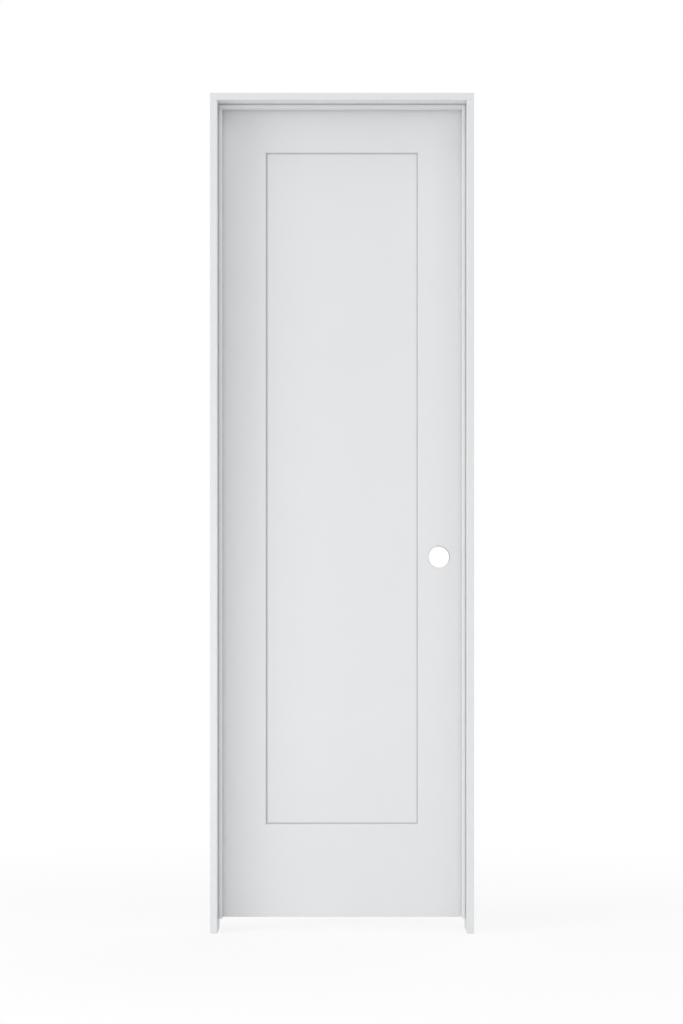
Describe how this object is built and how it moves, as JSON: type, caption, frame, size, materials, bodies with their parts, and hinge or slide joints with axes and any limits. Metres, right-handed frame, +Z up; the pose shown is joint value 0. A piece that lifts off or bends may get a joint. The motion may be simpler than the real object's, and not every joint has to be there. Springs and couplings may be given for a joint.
{
  "type": "prehung interior door",
  "caption": "Prehung left-hand interior door: recessed-panel slab on butt hinges in a jamb frame with mitred stops, bored for a latch.",
  "frame": {"origin": "on the wall side of the hinge jamb, at floor level, in the middle of the jamb's depth", "axes": "+X across the opening from the hinge jamb to the strike jamb, +Y through the wall to the side the slab opens to, +Z up"},
  "size_m": [0.655, 0.1357, 2.0847],
  "materials": {
    "primed_frame": "white primer, satin",
    "primed_slab": "white primer, satin",
    "hinge_steel": "satin nickel"
  },
  "bodies": {
    "frame": {"hinge_jamb": "primed_frame", "strike_jamb": "primed_frame", "head_jamb": "primed_frame", "hinge_stop": "primed_frame", "strike_stop": "primed_frame", "head_stop": "primed_frame", "top_hinge_frame_leaf": "hinge_steel", "middle_hinge_frame_leaf": "hinge_steel", "bottom_hinge_frame_leaf": "hinge_steel", "top_hinge_pin": "hinge_steel", "middle_hinge_pin": "hinge_steel", "bottom_hinge_pin": "hinge_steel"},
    "door": {"hinge_stile": "primed_slab", "lock_stile": "primed_slab", "top_rail": "primed_slab", "bottom_rail": "primed_slab", "panel": "primed_slab", "top_hinge_door_leaf": "hinge_steel", "middle_hinge_door_leaf": "hinge_steel", "bottom_hinge_door_leaf": "hinge_steel"}
  },
  "joints": [
    {"name": "door_swing", "type": "hinge", "parent": "frame", "child": "door", "pos_m": [0.02, 0.07228, 1], "axis": [0, 0, 1], "range_deg": [0, 175]}
  ]
}
